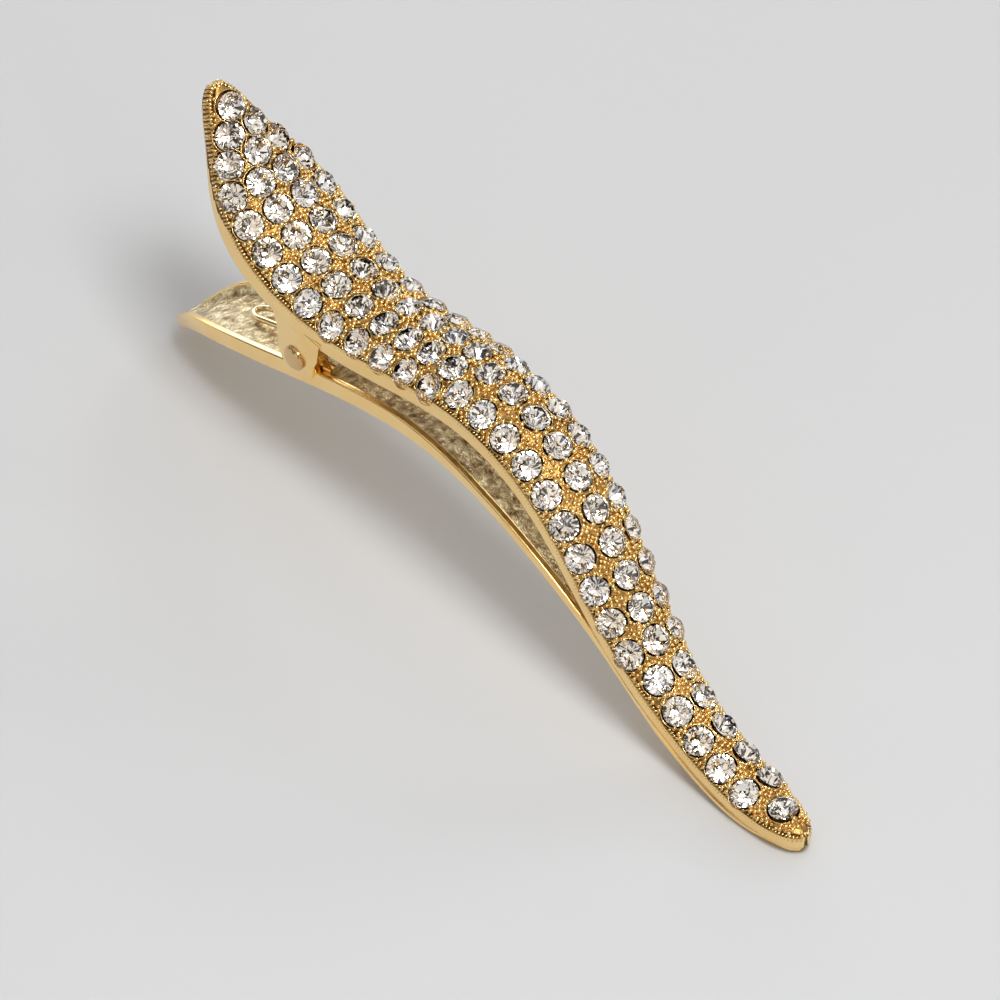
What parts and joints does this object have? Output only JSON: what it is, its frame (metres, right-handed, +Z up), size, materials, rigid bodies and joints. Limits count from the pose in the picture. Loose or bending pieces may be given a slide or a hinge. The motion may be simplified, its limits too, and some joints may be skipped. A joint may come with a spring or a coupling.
{
  "type": "rhinestone hair clip",
  "caption": "Sprung beak hair clip: a wave-shaped plated upper arm set with clear rhinestones, riveted over a slim lower arm with a dished thumb lever.",
  "frame": {"origin": "middle of the bounding box at the surface that the closed clip rests on", "axes": "+X along the clip to the closed tips, +Y along the hinge rivet, +Z up through the jewelled face"},
  "size_m": [0.0942, 0.0132, 0.0374],
  "materials": {
    "plated_upper": "gold plated, polished rim, beaded and textured between the stones",
    "plated_lower": "gold plated, polished",
    "rivet": "gold plated, brushed dome",
    "spring_wire": "gold washed spring wire",
    "rhinestone": "clear faceted glass, foiled back"
  },
  "bodies": {
    "lower_jaw": {"lower_arm": "plated_lower", "torsion_spring": "spring_wire"},
    "upper_jaw": {"upper_arm": "plated_upper", "hinge_rivet": "rivet", "rhinestone_course_01": "rhinestone", "rhinestone_course_02": "rhinestone", "rhinestone_course_03": "rhinestone", "rhinestone_course_04": "rhinestone", "rhinestone_course_05": "rhinestone", "rhinestone_course_06": "rhinestone", "rhinestone_course_07": "rhinestone", "rhinestone_course_08": "rhinestone", "rhinestone_course_09": "rhinestone", "rhinestone_course_10": "rhinestone", "rhinestone_course_11": "rhinestone", "rhinestone_course_12": "rhinestone", "rhinestone_course_13": "rhinestone", "rhinestone_course_14": "rhinestone", "rhinestone_course_15": "rhinestone", "rhinestone_course_16": "rhinestone", "rhinestone_course_17": "rhinestone", "rhinestone_course_18": "rhinestone", "rhinestone_course_19": "rhinestone", "rhinestone_course_20": "rhinestone", "rhinestone_course_21": "rhinestone", "rhinestone_course_22": "rhinestone", "rhinestone_course_23": "rhinestone", "rhinestone_course_24": "rhinestone", "rhinestone_course_25": "rhinestone", "rhinestone_course_26": "rhinestone", "rhinestone_course_27": "rhinestone", "rhinestone_course_28": "rhinestone", "rhinestone_course_29": "rhinestone"}
  },
  "joints": [
    {"name": "jaw_hinge", "type": "hinge", "parent": "lower_jaw", "child": "upper_jaw", "pos_m": [-0.023, 0, 0.0177], "axis": [0, -1, 0], "range_deg": [0, 35], "stiffness_Nm_per_rad": 0.12, "springref_deg": -28.65, "deforming": ["torsion_spring"]}
  ]
}
